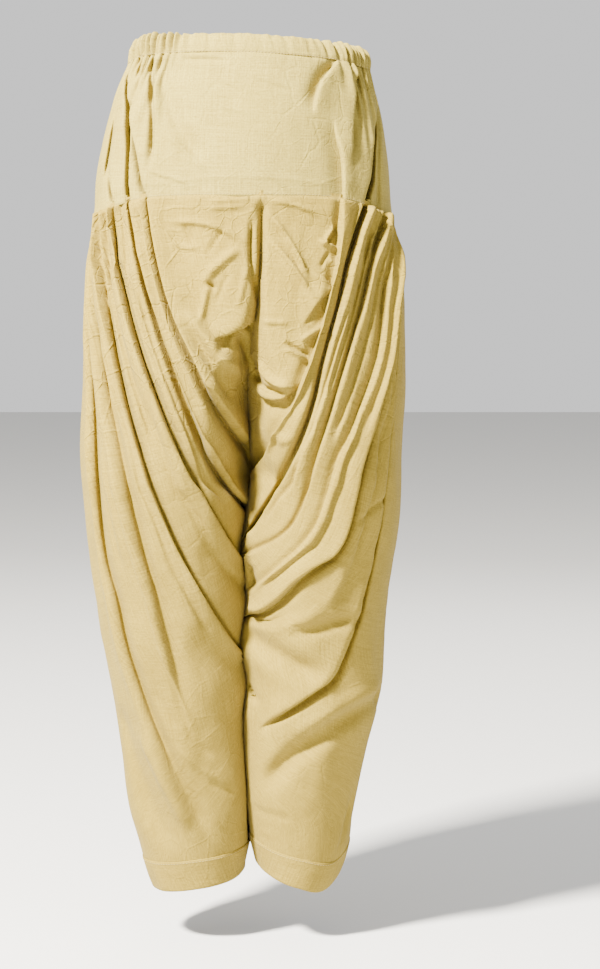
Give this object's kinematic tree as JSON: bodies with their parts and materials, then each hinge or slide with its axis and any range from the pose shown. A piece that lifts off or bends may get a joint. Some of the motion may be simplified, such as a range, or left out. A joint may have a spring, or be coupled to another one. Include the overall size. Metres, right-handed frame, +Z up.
{
  "type": "patiala salwar",
  "caption": "Loose worn salwar trousers with a gathered waist casing, a wide belt and long pleats that drape across the legs to narrow hem bands.",
  "frame": {"origin": "middle of the waist opening, level with the drawstring channel, where the wearer holds the garment up", "axes": "+Z up, -Y the wearer's back, +Y the way the wearer faces, +X the wearer's right"},
  "size_m": [0.3783, 0.2684, 0.988],
  "materials": {
    "belt_cloth": "matt plain-weave cotton, pale beige, lighter on the belt",
    "leg_cloth": "matt plain-weave cotton, pale beige"
  },
  "bodies": {
    "root": {"casing_back": "belt_cloth", "casing_front": "belt_cloth", "belt_back": "belt_cloth", "belt_front": "belt_cloth", "leg_left": "leg_cloth", "leg_right": "leg_cloth", "cuff_left": "leg_cloth", "cuff_right": "leg_cloth"}
  },
  "joints": []
}
